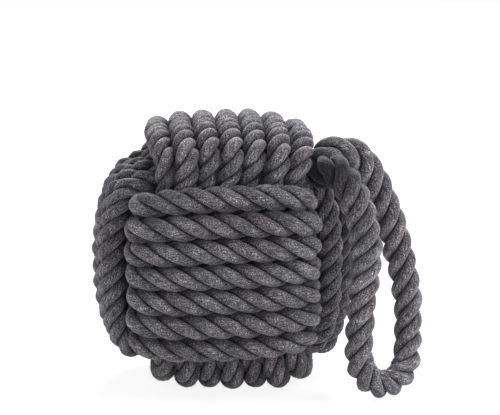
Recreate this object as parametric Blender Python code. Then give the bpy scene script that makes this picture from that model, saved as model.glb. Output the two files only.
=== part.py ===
"""Rope knot doorstop: a monkey's fist of one rope, tied round a cast weight, with a carrying loop.

Frame: metres, +Z up, +X to the loop's side, -Y to the front. The origin is the middle of the flat
that the knot stands on. The knot has three bands, each of the same number of turns:
front turns lie level, over the top turns at the front and back and under the side turns;
top turns run front to back, over the side turns above and below and under the front turns;
side turns run left to right, over the front turns at both sides and under the top turns.
"""

import math
from collections import namedtuple

import bmesh
import bpy
import numpy as np
from mathutils import Vector

# Driving dimensions, in metres unless the name says otherwise
ROPE_WIDTH = 0.014  # of the rope packed in the knot, from one turn to the next
ROPE_THICKNESS = 0.014  # of the packed rope, measured outwards from the weight
LOOP_ROPE = 0.016  # diameter of the slack rope in the carrying loop
TURNS = 7  # in each band
CLEARANCE = 0.0003  # between pieces that touch
SECTION_GAP = 0.0010  # between turns where they lie closest
CORE_TALLER = 0.0032  # half the difference between the weight's height and its width
STAND_FLAT = 0.0025  # how far the lowest turns are pressed flat by the weight
FRONT_SPREAD = 0.0005  # extra room that each front turn takes on the front and back
DIVE = 0.0045  # half the stretch in which a turn dives under the band that covers it
DIVE_OUT = 0.0035  # how far outside the edge of that band the middle of this stretch lies
FRONT_SAG = 0.0018  # how far the front turns hang below the knot's middle where they lie outermost
SIDE_SAG = 0.0045  # and how far the side turns do
FRONT_CLIMB = 0.0023  # how far a front turn climbs from the middle of the front to the weight's edge
TOP_LEAN = 0.0045  # how far the top turns stand to the loop's side where they lie outermost
TOP_ROLL = 0.0015  # how much less they do on top, and more underneath
UPPER_ROOT = 0.022  # length of the loop's rope that stays put beside the last top turn
LOWER_ROOT = 0.008  # and that stays put at the corner hole
PINCHED = math.sin(math.radians(34))  # below this the turns of a band lie at their closest
SPREAD_OUT = math.sin(math.radians(64))  # above this they lie at their widest
END_SHARE = 0.8  # of the hidden stretch that the first and the last turn leave out

# The loop's centreline, from beside the last top turn round to the corner hole: outwards and forwards
# from the weight's corner, and the share of the way down from there to the lowest point
LOOP_ROUTE = (
    (0.0050, -0.0130, -0.06), (0.0150, -0.0166, -0.09), (0.0294, -0.0219, -0.05), (0.0390, -0.0270, 0.07),
    (0.0460, -0.0289, 0.19), (0.0510, -0.0307, 0.31), (0.0558, -0.0311, 0.46), (0.0598, -0.0299, 0.61),
    (0.0607, -0.0271, 0.71), (0.0601, -0.0215, 0.84), (0.0580, -0.0132, 0.94), (0.0524, -0.0049, 0.99),
    (0.0432, 0.0038, 1.00), (0.0342, 0.0107, 0.955), (0.0286, 0.0158, 0.86), (0.0278, 0.0183, 0.75),
    (0.0292, 0.0185, 0.56), (0.0312, 0.0178, 0.41), (0.0312, 0.0162, 0.31), (0.0283, 0.0135, 0.17),
    (0.0230, 0.0105, 0.06), (0.0180, 0.0062, 0.0), (0.0127, 0.0026, -0.03),
)

# Fineness of the meshes
TURN_STATIONS = 36
LOOP_STATIONS = 56
ROOT_STATIONS = 6
LOOP_STEPS = 10  # of the fine line between two points of the route
LOOP_SIDES = 12
DOME_RINGS = 4
CORE_SIDES = 24
CORE_RINGS = 12
ROPE_SIDES = 8
FINE_STEPS = 144
SETTLING_ROUNDS = 60
NEAR = 1.9  # rope sizes within which two stretches are looked at for a touch
EASING = 3  # steps of the fine line over which a push or a squeeze spreads
FAIRING = 0.35  # how much of a push is evened out in each round
PRESSED = 0.88  # share of its section to which the soft rope is pressed before it moves its neighbours
FLATTEST = 0.5  # share of the size that faces a push which a section keeps before its other size gives
NARROWEST = 0.25  # and the share of the other size that it keeps then
CORNER = math.tan(math.pi / ROPE_SIDES)  # where the corners of an eight-sided section lie on its sides

# Sizes that follow from these
LAYER = ROPE_THICKNESS + CLEARANCE
HALF_BAND = TURNS * ROPE_WIDTH / 2
CORE_AXES = np.array([HALF_BAND, HALF_BAND, HALF_BAND + CORE_TALLER])
INNER_AXES = CORE_AXES + CLEARANCE + ROPE_THICKNESS / 2
OUTER_AXES = INNER_AXES + LAYER
CENTRE_HEIGHT = OUTER_AXES[2] + ROPE_THICKNESS / 2 - STAND_FLAT
CENTRE = np.array([-TOP_LEAN - TOP_ROLL, 0.0, CENTRE_HEIGHT])
# Angle from a turn's hidden middle to the edge of the band that covers it
HIDDEN_REACH = math.atan2(HALF_BAND, INNER_AXES[0])

# A band: the axes across its turns, which it goes over and which it goes under, the side of the hidden
# step, how much wider its turns lie where they are open and closer where they are covered, their shift
# where they are open, how they climb there and roll, and the squareness of their covered and their open
# stretches, where 2 is round and more is squarer
Band = namedtuple(
    "Band", "name across over under hidden spread pinch shift climb roll covered_shape open_shape"
)
X, Y, Z = range(3)
FRONT_SHIFT = (0.0, 0.0, -FRONT_SAG)
TOP_SHIFT = (TOP_LEAN, 0.0, 0.0)
SIDE_SHIFT = (0.0, 0.0, -SIDE_SAG)
BANDS = (
    Band("front_turn", Z, Y, X, 1.0, FRONT_SPREAD, 0.0020, FRONT_SHIFT, FRONT_CLIMB, 0.0, 2.6, 3.2),
    Band("top_turn", X, Z, Y, 1.0, 0.0, 0.0008, TOP_SHIFT, 0.0, TOP_ROLL, 3.2, 3.0),
    Band("side_turn", Y, X, Z, -1.0, 0.0, 0.0012, SIDE_SHIFT, 0.0, 0.0, 3.2, 2.45),
)

ROPE_COLOUR = (0.085, 0.09, 0.1, 1.0)
ROPE_ROUGHNESS = 0.95
CORE_COLOUR = (0.42, 0.41, 0.39, 1.0)
CORE_ROUGHNESS = 0.9


def smooth(t):
    """0 to 1 with level ends, for t from 0 to 1."""
    t = np.clip(t, 0.0, 1.0)
    return t * t * (3.0 - 2.0 * t)


def layer_reach(axes, squareness, across, over, under, w, angle):
    """Distance from the centre to a layer's surface, in the plane of a turn that lies w from the middle."""
    room = 1.0 - (np.abs(w) / axes[across]) ** squareness
    stretch = CORE_AXES / HALF_BAND
    along = (stretch[under] * np.abs(np.cos(angle)) / axes[under]) ** squareness
    along += (stretch[over] * np.abs(np.sin(angle)) / axes[over]) ** squareness
    # The surface is kept from closing at the layer's own edge, which only the edge of a turn comes near
    return (np.maximum(room, 0.05) / along) ** (1.0 / squareness)


def turn_line(band, number):
    """Centreline of one turn: it starts and ends half a step off, in the hidden middle."""
    across, over, under = band.across, band.over, band.under
    stretch = CORE_AXES / HALF_BAND
    angle = np.linspace(0.0, 2.0 * math.pi, FINE_STEPS + 1)
    # How far the turn has risen from the inner layer to the outer one
    rough = 0.5 * (
        layer_reach(INNER_AXES, band.covered_shape, across, over, under, 0.0, angle)
        + layer_reach(OUTER_AXES, band.open_shape, across, over, under, 0.0, angle)
    )
    lifted = rough * np.abs(np.sin(angle)) * stretch[over]
    rise = smooth((lifted - CORE_AXES[over] - DIVE_OUT + DIVE) / (2.0 * DIVE))
    # The step to the next turn is taken in the hidden stretch
    step = 0.5 * smooth((angle - 2.0 * math.pi + HIDDEN_REACH) / HIDDEN_REACH)
    step -= 0.5 * smooth((HIDDEN_REACH - angle) / HIDDEN_REACH)
    opened = smooth((np.abs(np.sin(angle)) - PINCHED) / (SPREAD_OUT - PINCHED))
    spacing = ROPE_WIDTH - band.pinch + (band.pinch + band.spread) * opened
    w = (number - (TURNS + 1) / 2 + step) * spacing
    inner = layer_reach(INNER_AXES, band.covered_shape, across, over, under, w, angle)
    outer = layer_reach(OUTER_AXES, band.open_shape, across, over, under, w, angle)
    reach = inner + (outer - inner) * rise
    line = np.zeros((len(angle), 3))
    line[:, under] = band.hidden * reach * stretch[under] * np.cos(angle)
    line[:, over] = reach * stretch[over] * np.sin(angle)
    climb = -band.climb * opened * np.sign(np.sin(angle)) * line[:, under] / HALF_BAND
    line[:, across] = w + climb - band.roll * np.sin(angle)
    return CENTRE + line + rise[:, None] * band.shift


def one_line(pieces):
    """Pieces that each begin where the last one ended, as one line without the doubled points."""
    return np.concatenate([piece[:-1] for piece in pieces] + [pieces[-1][-1:]])


def band_coil(band):
    """The turns of a band as one line, with its sections' axes and widths, and where each turn begins."""
    numbers = range(1, TURNS + 1)
    cut = int(END_SHARE * HIDDEN_REACH / (2.0 * math.pi) * FINE_STEPS)
    line = one_line([turn_line(band, number) for number in numbers])[cut:-cut]
    # From the one edge of the turn to the other, square to its run
    edges = [turn_line(band, number + 0.5) - turn_line(band, number - 0.5) for number in numbers]
    side, out = section_axes(line, one_line(edges)[cut:-cut])
    room = (side * one_line(edges)[cut:-cut]).sum(1)
    width = np.minimum(room, ROPE_WIDTH + band.spread) - CLEARANCE
    starts = [0] + [number * FINE_STEPS - cut for number in range(1, TURNS)] + [len(line) - 1]
    return {"band": band, "line": line, "width": width, "side": side, "out": out, "starts": starts}


def tangents(line):
    run = np.gradient(line, axis=0)
    return run / np.linalg.norm(run, axis=1, keepdims=True)


def stations(line, count):
    """Indices along a fine line: closer together where it bends."""
    run = np.linalg.norm(np.diff(line, axis=0), axis=1)
    heading = tangents(line)
    turned = np.arccos(np.clip((heading[1:] * heading[:-1]).sum(1), -1, 1))
    measure = np.concatenate([[0.0], np.cumsum(run / run.sum() + turned / max(turned.sum(), 1e-9))])
    wanted = np.linspace(0.0, measure[-1], count + 1)
    return np.unique(np.searchsorted(measure, wanted - 1e-12).clip(0, len(line) - 1))


def section_axes(line, side):
    """At each point, the unit direction to the turn's side and the one out of the band."""
    heading = tangents(line)
    side = side - (side * heading).sum(1)[:, None] * heading
    side /= np.linalg.norm(side, axis=1, keepdims=True)
    return side, np.cross(heading, side)


def near_pairs(coils):
    """Indices of points that lie near each other on different stretches of the rope."""
    points = joined(coils, "line")
    band = np.repeat(np.arange(len(coils)), [len(coil["line"]) for coil in coils])
    reach = NEAR * max(ROPE_WIDTH, ROPE_THICKNESS)
    first, second = [], []
    for k in range(len(points)):
        apart = points[k + 1 :] - points[k]
        close = (apart**2).sum(1) < reach**2
        # Points less than a quarter of a turn apart are the same stretch of rope
        close[: FINE_STEPS // 4] &= band[k + 1 : k + 1 + FINE_STEPS // 4] != band[k]
        found = np.nonzero(close)[0] + k + 1
        first.append(np.full(len(found), k))
        second.append(found)
    return np.concatenate(first), np.concatenate(second)


def facing(u, side, out, width):
    """How much of a section's half width and of its half depth faces direction u."""
    wide = np.abs((u * side).sum(1)) * width
    deep = np.abs((u * out).sum(1)) * ROPE_THICKNESS
    return np.stack([wide, deep], axis=1) / 2


def support(u, side, out, width):
    """How far an eight-sided section reaches in direction u."""
    wide, deep = facing(u, side, out, width).T
    return np.maximum(wide + CORNER * deep, CORNER * wide + deep)


def pressed(u, side, out, width, allowed):
    """Shares of width and depth at which a section's reach in direction u shrinks to the allowed share.

    The size that faces the push gives first, down to its flattest, and the other gives only what is left.
    """
    sizes = facing(u, side, out, width)
    reach = allowed * support(u, side, out, width)
    shares = np.ones_like(sizes)
    order = np.argsort(-sizes, axis=1)
    rows = np.arange(len(sizes))
    for turn, least in ((0, FLATTEST), (1, NARROWEST)):
        giving, other = order[:, turn], order[:, 1 - turn]
        mine = np.maximum(sizes[rows, giving], 1e-9)
        rest = sizes[rows, other] * shares[rows, other]
        room = np.minimum(reach - CORNER * rest, (reach - rest) / CORNER)
        shares[rows, giving] = np.clip(room / mine, least, 1.0)
    return shares


def joined(coils, key):
    """One value of all coils, end to end."""
    return np.concatenate([coil[key] for coil in coils])


def averaged(values, spread):
    """Each value replaced by the mean of those around it."""
    edges = ((spread, spread),) + ((0, 0),) * (values.ndim - 1)
    padded = np.pad(values, edges, mode="edge")
    return np.mean([padded[k : k + len(values)] for k in range(2 * spread + 1)], axis=0)


def settle(coils):
    """Moves turns apart until they clear each other and the weight, and keeps their lines fair."""
    first, second = near_pairs(coils)
    start = joined(coils, "line")
    side, out, width = joined(coils, "side"), joined(coils, "out"), joined(coils, "width")
    ends = np.cumsum([0] + [len(coil["line"]) for coil in coils])
    moved = np.zeros_like(start)
    for _ in range(SETTLING_ROUNDS):
        points = start + moved
        apart = points[second] - points[first]
        distance = np.linalg.norm(apart, axis=1)
        u = apart / distance[:, None]
        reach = support(u, side[first], out[first], width[first])
        reach += support(u, side[second], out[second], width[second])
        short = np.maximum(SECTION_GAP + PRESSED * reach - distance, 0.0)
        push = np.zeros_like(start)
        worst = np.zeros(len(start))
        for index, sign in ((first, -1.0), (second, 1.0)):
            np.maximum.at(worst, index, short)
            np.add.at(push, index, sign * short[:, None] * u)
        size = np.linalg.norm(push, axis=1)
        moved += (0.5 * worst / np.maximum(size, 1e-9))[:, None] * push
        for a, b in zip(ends, ends[1:]):
            moved[a:b] += FAIRING * (averaged(moved[a:b], EASING) - moved[a:b])
        # The weight holds the covered turns out
        around = (start + moved - CENTRE) / INNER_AXES
        inside = np.maximum(1.0 / np.linalg.norm(around, axis=1) - 1.0, 0.0)
        moved += inside[:, None] * (start + moved - CENTRE)
    for coil, a, b in zip(coils, ends, ends[1:]):
        coil["line"] = start[a:b] + moved[a:b]
        coil["side"], coil["out"] = section_axes(coil["line"], coil["side"])


def squeeze(coils):
    """Gives each point the shares of width and depth that its section keeps between its neighbours."""
    first, second = near_pairs(coils)
    line = joined(coils, "line")
    side, out, width = joined(coils, "side"), joined(coils, "out"), joined(coils, "width")
    apart = line[second] - line[first]
    distance = np.linalg.norm(apart, axis=1)
    u = apart / distance[:, None]
    reach = support(u, side[first], out[first], width[first])
    reach += support(u, side[second], out[second], width[second])
    allowed = (distance - SECTION_GAP) / reach
    shares = np.ones((len(line), 2))
    for index in (first, second):
        np.minimum.at(shares, index, pressed(u, side[index], out[index], width[index], allowed))
    ends = np.cumsum([0] + [len(coil["line"]) for coil in coils])
    for coil, a, b in zip(coils, ends, ends[1:]):
        padded = np.pad(shares[a:b], ((EASING, EASING), (0, 0)), mode="edge")
        lowest = np.min([padded[k : k + b - a] for k in range(2 * EASING + 1)], axis=0)
        coil["share"] = averaged(lowest, EASING)


def curve_through(points, steps):
    """A smooth line through points, with so many steps between each two."""
    points = np.array([2 * points[0] - points[1], *points, 2 * points[-1] - points[-2]])
    line = []
    for before, start, end, after in zip(points, points[1:], points[2:], points[3:]):
        for t in np.arange(steps) / steps:
            line.append(0.5 * (
                2 * start + (end - before) * t
                + (2 * before - 5 * start + 4 * end - after) * t**2
                + (3 * start - before - 3 * end + after) * t**3
            ))
    return np.array(line + [points[-2]])


def loop_line(turns):
    """Centreline of the loop's rope, laid clear of the knot and of the floor."""
    corner = CENTRE + (HALF_BAND, -HALF_BAND, CORE_AXES[Z])
    lowest = LOOP_ROPE / 2 + CLEARANCE
    drop = corner[Z] - lowest
    route = [corner + (out, -forward, -down * drop) for out, forward, down in LOOP_ROUTE]
    laid = curve_through(route, LOOP_STEPS)
    moved = np.zeros_like(laid)
    knot = joined(turns, "line")
    side, out, width = joined(turns, "side"), joined(turns, "out"), joined(turns, "width")
    share = joined(turns, "share")
    for _ in range(SETTLING_ROUNDS):
        for k, point in enumerate(laid + moved):
            apart = point - knot
            distance = np.linalg.norm(apart, axis=1)
            u = apart / distance[:, None]
            reach = support(u, share[:, :1] * side, share[:, 1:] * out, width)
            short = reach + LOOP_ROPE / 2 + SECTION_GAP - distance
            worst = short.argmax()
            moved[k] += 0.5 * max(short[worst], 0.0) * u[worst]
        moved += FAIRING * (averaged(moved, EASING) - moved)
    line = laid + moved
    line[:, Z] = np.maximum(line[:, Z], lowest)
    return line


def point_at(line, length):
    """The point at a length along a line, and its index."""
    run = np.concatenate([[0.0], np.cumsum(np.linalg.norm(np.diff(line, axis=0), axis=1))])
    if length < 0:
        length += run[-1]
    point = np.array([np.interp(length, run, line[:, axis]) for axis in (X, Y, Z)])
    return point, int(np.searchsorted(run, length))


def leaving(line, centre, reach):
    """The part of a line from where it comes so far from a point."""
    distance = np.linalg.norm(line - centre, axis=1)
    k = int(np.argmax(distance > reach))
    share = (reach - distance[k - 1]) / (distance[k] - distance[k - 1])
    return np.array([line[k - 1] + share * (line[k] - line[k - 1]), *line[k:]])


def tube_rings(line, radius, domed):
    """Round sections along a line, and a dome's sections beyond each end where it is domed."""
    heading = tangents(line)
    side = np.cross(heading[0], (0.0, 0.0, 1.0))
    frames = []
    for ahead in heading:
        side = side - side.dot(ahead) * ahead
        side /= np.linalg.norm(side)
        frames.append((side, np.cross(ahead, side)))
    centres = [(point, radius, frame) for point, frame in zip(line, frames)]
    if domed:
        for end, sign in ((0, -1.0), (-1, 1.0)):
            dome = []
            for k in range(1, DOME_RINGS + 1):
                angle = 0.5 * math.pi * k / (DOME_RINGS + 0.5)
                beyond = line[end] + sign * radius * math.sin(angle) * heading[end]
                dome.append((beyond, radius * math.cos(angle), frames[end]))
            centres = dome[::-1] + centres if end == 0 else centres + dome
    angles = np.arange(LOOP_SIDES) * 2.0 * math.pi / LOOP_SIDES
    return [
        [Vector(at + size * (math.cos(a) * right + math.sin(a) * up)) for a in angles]
        for at, size, (right, up) in centres
    ]


def ring_mesh(name, rings):
    """A closed tube skinned over rings of points, with a flat cap at each end."""
    mesh = bmesh.new()
    made = [[mesh.verts.new(p) for p in ring] for ring in rings]
    sides = len(made[0])
    for near, far in zip(made, made[1:]):
        for k in range(sides):
            after = (k + 1) % sides
            mesh.faces.new((near[k], near[after], far[after], far[k]))
    mesh.faces.new(made[0][::-1])
    mesh.faces.new(made[-1])
    bmesh.ops.recalc_face_normals(mesh, faces=mesh.faces)
    data = bpy.data.meshes.new(name)
    mesh.to_mesh(data)
    mesh.free()
    data.shade_smooth()
    data.set_sharp_from_angle(angle=math.radians(50))
    return data


def material(name, colour, roughness):
    made = bpy.data.materials.new(name)
    made.use_nodes = True
    shader = made.node_tree.nodes["Principled BSDF"]
    shader.inputs["Base Color"].default_value = colour
    shader.inputs["Roughness"].default_value = roughness
    shader.inputs["Metallic"].default_value = 0.0
    made.diffuse_color = colour
    return made


def place(name, mesh, colour, roughness):
    made = bpy.data.objects.new(name, mesh)
    bpy.context.scene.collection.objects.link(made)
    mesh.materials.append(material(name + "_finish", colour, roughness))
    return made


def octagon(width, thickness):
    """Section of the packed rope: flat against its neighbours, its corners cut."""
    half, deep = width / 2, thickness / 2
    short, shallow = half * CORNER, deep * CORNER
    return (
        (half, -shallow), (half, shallow), (short, deep), (-short, deep),
        (-half, shallow), (-half, -shallow), (-short, -deep), (short, -deep),
    )


def build_turns():
    coils = [band_coil(band) for band in BANDS]
    settle(coils)
    squeeze(coils)
    for coil in coils:
        for number in range(1, TURNS + 1):
            first, last = coil["starts"][number - 1], coil["starts"][number]
            rings = []
            for k in first + stations(coil["line"][first : last + 1], TURN_STATIONS):
                ring = []
                share = coil["share"][k]
                for wide, deep in octagon(share[0] * coil["width"][k], share[1] * ROPE_THICKNESS):
                    point = coil["line"][k] + wide * coil["side"][k] + deep * coil["out"][k]
                    point[Z] = max(point[Z], 0.0)
                    ring.append(Vector(point))
                rings.append(ring)
            # The ends stay half a clearance short of where the next turn takes over
            heading = tangents(coil["line"])
            for ring, back in ((rings[0], heading[first]), (rings[-1], -heading[last])):
                for point in ring:
                    point += CLEARANCE / 2 * Vector(back)
            name = f"{coil['band'].name}_{number}"
            place(name, ring_mesh(name, rings), ROPE_COLOUR, ROPE_ROUGHNESS)
    return coils


def build_core():
    mesh = bmesh.new()
    bmesh.ops.create_uvsphere(mesh, u_segments=CORE_SIDES, v_segments=CORE_RINGS, radius=1.0)
    # One more clearance back, because the facets of the turns on it cut their curve short
    axes = CORE_AXES - CLEARANCE
    for vertex in mesh.verts:
        vertex.co = Vector(CENTRE + np.array(vertex.co) * axes)
    data = bpy.data.meshes.new("core_weight")
    mesh.to_mesh(data)
    mesh.free()
    data.shade_smooth()
    place("core_weight", data, CORE_COLOUR, CORE_ROUGHNESS)


def build_loop(turns):
    """The loop swings about the line between its two roots, which end in round knuckles on that line."""
    line = loop_line(turns)
    upper, first = point_at(line, UPPER_ROOT)
    lower, last = point_at(line, -LOWER_ROOT)
    reach = LOOP_ROPE / 2 + CLEARANCE
    free = leaving(np.array([upper, *line[first:last], lower]), upper, reach)
    free = leaving(free[::-1], lower, reach)[::-1]
    free = free[stations(free, LOOP_STATIONS)]
    mesh = ring_mesh("handle_loop", tube_rings(free - upper, LOOP_ROPE / 2, False))
    place("handle_loop", mesh, ROPE_COLOUR, ROPE_ROUGHNESS).location = upper
    roots = {"handle_root_upper": [*line[:first], upper], "handle_root_lower": [lower, *line[last:]]}
    for name, root in roots.items():
        root = np.array(root)
        root = root[stations(root, ROOT_STATIONS)]
        place(name, ring_mesh(name, tube_rings(root, LOOP_ROPE / 2, True)), ROPE_COLOUR, ROPE_ROUGHNESS)
    return upper, lower


def main():
    for old in list(bpy.data.objects):
        bpy.data.objects.remove(old, do_unlink=True)
    build_core()
    build_loop(build_turns())


if __name__ == "__main__":
    main()
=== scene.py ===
"""Looks of the rope knot doorstop: laid cotton rope in three crossing bands, a slack loop, a pale stage."""

import functools
import math
from collections import namedtuple

import bpy
import numpy as np
from mathutils import Matrix, Vector


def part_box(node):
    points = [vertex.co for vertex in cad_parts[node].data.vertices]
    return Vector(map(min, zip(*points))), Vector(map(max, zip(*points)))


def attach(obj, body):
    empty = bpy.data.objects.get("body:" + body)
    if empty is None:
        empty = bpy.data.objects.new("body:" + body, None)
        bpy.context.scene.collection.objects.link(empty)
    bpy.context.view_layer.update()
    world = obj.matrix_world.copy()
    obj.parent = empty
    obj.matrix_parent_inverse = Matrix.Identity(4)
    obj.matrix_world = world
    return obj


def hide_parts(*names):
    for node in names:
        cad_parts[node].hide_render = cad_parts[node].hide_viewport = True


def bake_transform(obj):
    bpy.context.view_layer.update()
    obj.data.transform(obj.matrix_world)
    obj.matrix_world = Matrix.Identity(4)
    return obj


bl_info = {
    "name": "Rope Knot Doorstop",
    "version": (1, 0, 0),
    "blender": (4, 5, 0),
    "location": "View3D > Sidebar > Doorstop",
    "description": "Dresses a cubical rope knot in laid cotton rope, with its carrying loop",
    "category": "Add Mesh",
}

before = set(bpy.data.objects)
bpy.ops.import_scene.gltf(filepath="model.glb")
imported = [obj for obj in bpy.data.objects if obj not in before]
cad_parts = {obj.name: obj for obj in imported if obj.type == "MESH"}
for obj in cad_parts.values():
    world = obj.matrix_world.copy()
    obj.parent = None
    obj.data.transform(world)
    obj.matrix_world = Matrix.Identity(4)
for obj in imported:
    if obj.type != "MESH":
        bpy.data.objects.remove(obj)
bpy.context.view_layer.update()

X, Y, Z = range(3)
CLEARANCE = 0.0003  # between pieces that touch

# Sizes read from the frame, in metres
TURNS = sum(name.startswith("front_turn_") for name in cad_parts)
WEIGHT_LOW, WEIGHT_HIGH = (np.array(corner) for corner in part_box("core_weight"))
CENTRE = (WEIGHT_LOW + WEIGHT_HIGH) / 2
CORE_AXES = (WEIGHT_HIGH - WEIGHT_LOW) / 2 + CLEARANCE
HALF_BAND = CORE_AXES[X]
STRETCH = CORE_AXES / HALF_BAND
TURN_STEP = 2 * HALF_BAND / TURNS

# How the rope lies in the knot
LOOP_ROPE = 0.016
SECTION_GAP = 0.0010  # left between sections while they settle
LAYER = TURN_STEP + CLEARANCE  # from the middle of the covered rope to that of the open rope
INNER_AXES = CORE_AXES + CLEARANCE + TURN_STEP / 2
OUTER_AXES = INNER_AXES + LAYER
DIVE = 0.0045  # half of the height over which a turn goes from one layer to the other
DIVE_OUT = 0.0035  # height over the weight at which it is half way
PINCHED = math.sin(math.radians(34))  # up to this angle a turn is pinched by the band over it
SPREAD_OUT = math.sin(math.radians(64))  # and from this angle on it has spread
END_SHARE = 0.8  # share of a hidden stretch that is left off at both ends of a band
HIDDEN_REACH = math.atan2(HALF_BAND, INNER_AXES[X])
PRESSED = 0.88  # share of its section to which the soft rope is pressed
CORNER = math.tan(math.pi / 8)  # half a side of an octagon over its half width
FINE_STEPS = 144  # points in a turn
LOOP_STEPS = 10  # points of the loop for each point of its route
SETTLING_ROUNDS = 60
NEAR = 1.9  # how near points press on each other, in turn steps
EASING = 3  # points to each side over which a move is evened out
FAIRING = 0.35  # share of a move that is evened out in a round

# A band: the axes across its turns, which it goes over and which it goes under, the side of the hidden
# step, extra spacing where open and less where covered, its shift, climb and roll where open, and the
# squareness of its covered and its open stretches
Band = namedtuple("Band", "across over under hidden spread pinch shift climb roll covered_shape open_shape")
BANDS = {
    "front_turn": Band(Z, Y, X, 1.0, 0.0005, 0.0020, (0.0, 0.0, -0.0018), 0.0023, 0.0, 2.6, 3.2),
    "top_turn": Band(X, Z, Y, 1.0, 0.0, 0.0008, (0.0045, 0.0, 0.0), 0.0, 0.0015, 3.2, 3.0),
    "side_turn": Band(Y, X, Z, -1.0, 0.0, 0.0012, (0.0, 0.0, -0.0045), 0.0, 0.0, 3.2, 2.45),
}

# How a band's rope looks: its width, its lay, the middle of what is seen of a turn as a share of it, the
# angle of the strands there in each turn, and its shade, a factor on the cotton's colours that paints light on
# the band above 1 and shade below it
Dress = namedtuple("Dress", "width lay middle phases shade")
DRESSES = {
    "front_turn": Dress(0.0150, 0.0417, 0.75, (-1.72, -1.44, -1.49, -1.41, -0.47, -0.01, 0.81), 1.0),
    "top_turn": Dress(0.0142, 0.0330, 0.25, (0.2, 0.6, 0.95, 0.74, 0.56, -0.1, -0.48), 1.03),
    "side_turn": Dress(0.0150, 0.0295, 0.75, (0.0, 0.7, 1.1, 0.2, 0.9, 1.6, 0.4), 0.95),
}
LEFT_SWELL = 0.19  # extra thickness of the first side turn on the left, where only one neighbour holds it
SIDE_BULGE = 0.002  # of the other side turns on the right
FRONT_LEAN = 0.003  # of the top turns, between their crest and where they go under the front ones

# Ramps: where each starts and how long it is, negative where it runs down
SIDE_RAMP = (0.7, 0.22)  # of the swell and the bulge, in shares of the outer axis
LEAN_FROM, LEAN_TO = (0.03, 0.015), (0.079, -0.02)  # of the lean, by height over the centre
WALL_RAMP, UNDER_RAMP = (0.5, 0.45), (0.0, -0.5)  # of the shade at a neighbour and underneath
LOOP_SHADE_RAMP = (0.050, -0.025)  # of the side turns' shade, by distance from the loop
THIN_FROM, THIN_TO = (0.25, 0.2), (0.82, -0.12)  # of the loop's thinner part, in shares of its length
TIGHT_RAMP = (0.68, 0.15)  # of its closer strands
UPPER_SHADE_RAMP, LOWER_SHADE_RAMP = (0.07, -0.05), (0.87, 0.08)  # of the shade at its ends
WALL_SHADE, LOOP_SHADE, UPPER_SHADE = 0.7, 0.98, 0.8

# The loop's centreline, from beside the last top turn round to the corner hole: outwards and forwards
# from the weight's corner, and the share of the way down from there to the lowest point
LOOP_ROUTE = (
    (0.0050, -0.0130, -0.06), (0.0150, -0.0166, -0.09), (0.0294, -0.0219, -0.05), (0.0390, -0.0270, 0.07),
    (0.0460, -0.0289, 0.19), (0.0510, -0.0307, 0.31), (0.0558, -0.0311, 0.46), (0.0598, -0.0299, 0.61),
    (0.0607, -0.0271, 0.71), (0.0601, -0.0215, 0.84), (0.0580, -0.0132, 0.94), (0.0524, -0.0049, 0.99),
    (0.0432, 0.0038, 1.00), (0.0342, 0.0107, 0.955), (0.0286, 0.0158, 0.86), (0.0278, 0.0183, 0.75),
    (0.0292, 0.0185, 0.56), (0.0312, 0.0178, 0.41), (0.0312, 0.0162, 0.31), (0.0283, 0.0135, 0.17),
    (0.0230, 0.0105, 0.06), (0.0180, 0.0062, 0.0), (0.0127, 0.0026, -0.03),
)
# How each of the loop's ends goes on, out of sight inside the knot
UPPER_HIDDEN = np.array([-0.009, 0.002, -0.007])
LOWER_HIDDEN = np.array([-0.007, 0.010, -0.004])
LOOP_PHASE = 3.0  # angle of its strands at the first end
TIGHTER = 0.22  # how much closer its strands lie towards the corner hole, as a share

# The rope's surface
STRAND_SHIFT = 0.021  # between the unevenness of its three strands, along it
WOBBLES = np.array([0.023, 0.041, 0.089])  # lengths of the waves of its unevenness
WOBBLE_PHASES = np.array([0.0, 2.1, 4.4])
WOBBLE_STEP = 1.7  # how far the phases go on from one rope to the next
OFF_GROOVE = 0.9  # loose fibres grow up to here, where 1 is the groove and 0 the middle of a strand
ASLANT = 1.1  # how far a loose fibre leans, as a share of how far it stands out
FIBRE_ROOT = 0.0001  # depth of its root under the surface
# Corners of a fibre's four faces: its root, seen from inside the rope, and its three sides
SPIKE_CORNERS = np.array([0, 2, 1, 0, 1, 3, 1, 2, 3, 2, 0, 3])

# The photograph's view
VIEW_TURN, VIEW_HEIGHT = math.radians(1.0), math.radians(12.0)
VIEW_DISTANCE = 1.2
FRAME_PX = np.array([500.0, 415.0])
KNOT_CENTRE_PX = np.array([221.5, 247.3])
TURN_STEP_PX = 23.5

# The stage: half the floor's side, the strength of its glow and its share, and the room's light
FLOOR_HALF = 6.0
FLOOR_GLOW, GLOW_SHARE = 1.12, 0.8
ROOM_LIGHT = 0.24
# Each lamp's name, place, diameter in metres and power in watts
LAMPS = (
    ("key", (1.5, -0.8, 1.6), 1.0, 29.0),
    ("top", (0.2, 1.5, 1.4), 0.8, 104.0),
    ("rim", (-1.4, 0.7, 1.1), 0.9, 9.0),
    ("front", (1.5, -1.8, 0.7), 1.0, 9.0),
    ("low", (0.4, -1.9, 0.15), 1.2, 8.0),
)


def smooth(t):
    """0 to 1 with level ends, for t from 0 to 1: three times its square less twice its cube."""
    t = np.clip(t, 0.0, 1.0)
    return t * t * (3.0 - 2.0 * t)


def ramp(value, start, length):
    """0 at the start and 1 one length further, with level ends. A negative length runs down."""
    return smooth((value - start) / length)


def unit(v):
    """Vectors over their lengths."""
    return v / np.linalg.norm(v, axis=-1, keepdims=True)


def tangents(line):
    """Unit directions of a line, from the points before and after each."""
    return unit(np.gradient(line, axis=0))


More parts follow.
